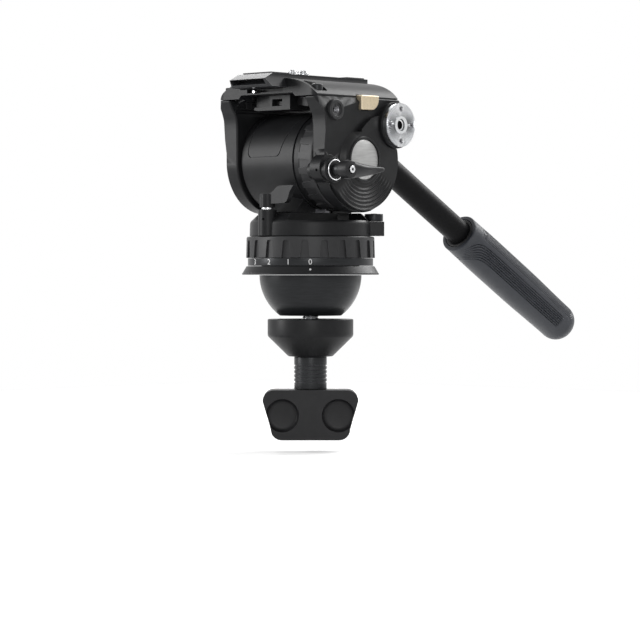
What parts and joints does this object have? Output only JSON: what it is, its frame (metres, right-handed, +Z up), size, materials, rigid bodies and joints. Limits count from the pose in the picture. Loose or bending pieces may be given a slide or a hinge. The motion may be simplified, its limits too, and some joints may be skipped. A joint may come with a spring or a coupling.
{
  "type": "fluid video head",
  "caption": "Bowl-mount fluid video head with pan and tilt drag rings, bubble level, sliding camera plate, toothed rosettes and a rear pan bar with a ribbed grip.",
  "frame": {"origin": "on the pan axis at the plane of the bowl's rim, which is the underside of the base flange", "axes": "+Z up along the pan axis, -Y to the front of the head, +X to the side with the tilt lock and the free rosette"},
  "size_m": [0.1876, 0.4685, 0.2748],
  "materials": {
    "black_casting": "fine satin black coat on cast aluminium",
    "black_plastic": "matt moulded black",
    "black_anodised": "black anodised, fine turned lines",
    "black_rubber": "matt black rubber",
    "bright_steel": "bright plated steel",
    "dark_steel": "dark oiled steel",
    "silver_disc": "brushed silver disc",
    "gold_anodised": "champagne anodised",
    "level_glass": "clear cap over green liquid"
  },
  "bodies": {
    "base": {"base_flange": "black_casting", "half_ball": "black_anodised", "clamp_stud": "bright_steel", "pan_spindle": "dark_steel", "spindle_nut": "dark_steel", "pan_damper": "black_plastic"},
    "cup": {"clamp_cup": "black_casting"},
    "wing_knob": {"knob_neck": "black_anodised", "bowl_knob": "black_plastic"},
    "pan_drag": {"pan_drag_scale": "black_anodised", "pan_drag_ring": "black_plastic"},
    "pan": {"pan_housing": "black_casting", "pan_bearing": "bright_steel", "drum_housing": "black_casting", "left_bearing": "bright_steel", "right_bearing": "bright_steel", "counterbalance_spring": "dark_steel", "tilt_damper": "black_plastic", "level_bezel": "black_anodised", "level_vial": "level_glass"},
    "pan_lock": {"pan_lock_pin": "bright_steel", "pan_lock_lever": "black_casting"},
    "tilt_drag": {"tilt_drag_ring": "black_plastic"},
    "tilt": {"tilt_spindle": "dark_steel", "left_arm": "black_casting", "right_arm": "black_casting", "platform": "black_casting", "left_cover": "black_plastic", "right_cover": "black_plastic", "left_badge": "silver_disc", "right_badge": "silver_disc", "left_rosette": "bright_steel", "right_rosette": "bright_steel", "accessory_socket": "black_anodised", "latch_box": "black_casting", "stop_pin": "bright_steel", "safety_button": "black_anodised", "plate_lock_pin": "bright_steel", "tilt_lock_washer": "bright_steel"},
    "tilt_lock": {"tilt_lock_shaft": "dark_steel", "tilt_lock_lever": "black_casting", "tilt_lock_screw": "bright_steel"},
    "plate": {"camera_plate": "black_anodised", "front_pad": "black_rubber", "rear_pad": "black_rubber"},
    "small_screw": {"quarter_screw": "bright_steel"},
    "large_screw": {"eighths_screw": "bright_steel"},
    "plate_lock": {"plate_lock_lever": "black_casting"},
    "jaw": {"movable_jaw": "black_anodised"},
    "release": {"release_tab": "gold_anodised"},
    "handle": {"handle_rosette": "bright_steel", "handle_clamp": "black_casting", "handle_tube": "black_anodised", "handle_collar": "black_plastic", "handle_grip": "black_rubber"},
    "handle_lock": {"handle_knob": "black_plastic"}
  },
  "joints": [
    {"name": "cup_lift", "type": "slide", "parent": "base", "child": "cup", "axis": [0, 0, -1], "range_m": [0, 0.007]},
    {"name": "wing_turn", "type": "hinge", "parent": "cup", "child": "wing_knob", "pos_m": [0, 0, -0.1], "axis": [0, 0, -1], "range_deg": [0, 1440]},
    {"name": "pan_drag_turn", "type": "hinge", "parent": "base", "child": "pan_drag", "pos_m": [0, 0, 0.02], "axis": [0, 0, 1], "range_deg": [0, 61]},
    {"name": "pan_turn", "type": "hinge", "parent": "base", "child": "pan", "pos_m": [0, 0, 0.04], "axis": [0, 0, 1], "continuous": true},
    {"name": "pan_lock_turn", "type": "hinge", "parent": "pan", "child": "pan_lock", "pos_m": [-0.003, -0.0421, 0.05], "axis": [0, 0, 1], "range_deg": [-45, 10]},
    {"name": "tilt_drag_turn", "type": "hinge", "parent": "pan", "child": "tilt_drag", "pos_m": [0.029, 0, 0.083], "axis": [1, 0, 0], "range_deg": [0, 61]},
    {"name": "tilt_turn", "type": "hinge", "parent": "pan", "child": "tilt", "pos_m": [0, 0, 0.083], "axis": [1, 0, 0], "range_deg": [-80, 55]},
    {"name": "tilt_lock_turn", "type": "hinge", "parent": "tilt", "child": "tilt_lock", "pos_m": [0.07, -0.0385, 0.0745], "axis": [1, 0, 0], "range_deg": [-60, 60]},
    {"name": "plate_slide", "type": "slide", "parent": "tilt", "child": "plate", "axis": [0, 1, 0], "range_m": [-0.02, 0.02]},
    {"name": "small_screw_turn", "type": "hinge", "parent": "plate", "child": "small_screw", "pos_m": [0, -0.019, 0.14], "axis": [0, 0, 1], "continuous": true},
    {"name": "large_screw_turn", "type": "hinge", "parent": "plate", "child": "large_screw", "pos_m": [0, -0.008, 0.14], "axis": [0, 0, 1], "continuous": true},
    {"name": "plate_lock_turn", "type": "hinge", "parent": "tilt", "child": "plate_lock", "pos_m": [-0.058, -0.022, 0.135], "axis": [0, 0, 1], "range_deg": [0, 60]},
    {"name": "jaw_slide", "type": "slide", "parent": "tilt", "child": "jaw", "axis": [-1, 0, 0], "range_m": [0, 0.0012]},
    {"name": "release_press", "type": "slide", "parent": "tilt", "child": "release", "axis": [-1, 0, 0], "range_m": [0, 0.002], "stiffness_N_per_m": 300},
    {"name": "handle_turn", "type": "hinge", "parent": "tilt", "child": "handle", "pos_m": [-0.07, 0.033, 0.109], "axis": [1, 0, 0], "range_deg": [-40, 30]},
    {"name": "handle_lock_turn", "type": "hinge", "parent": "handle", "child": "handle_lock", "pos_m": [-0.09, 0.033, 0.109], "axis": [1, 0, 0], "range_deg": [0, 1080]}
  ],
  "couplings": [
    {"joint": "cup_lift", "follows": "wing_turn", "m_per_rad": 0.0002785},
    {"joint": "jaw_slide", "follows": "plate_lock_turn", "m_per_rad": 0.0011}
  ]
}
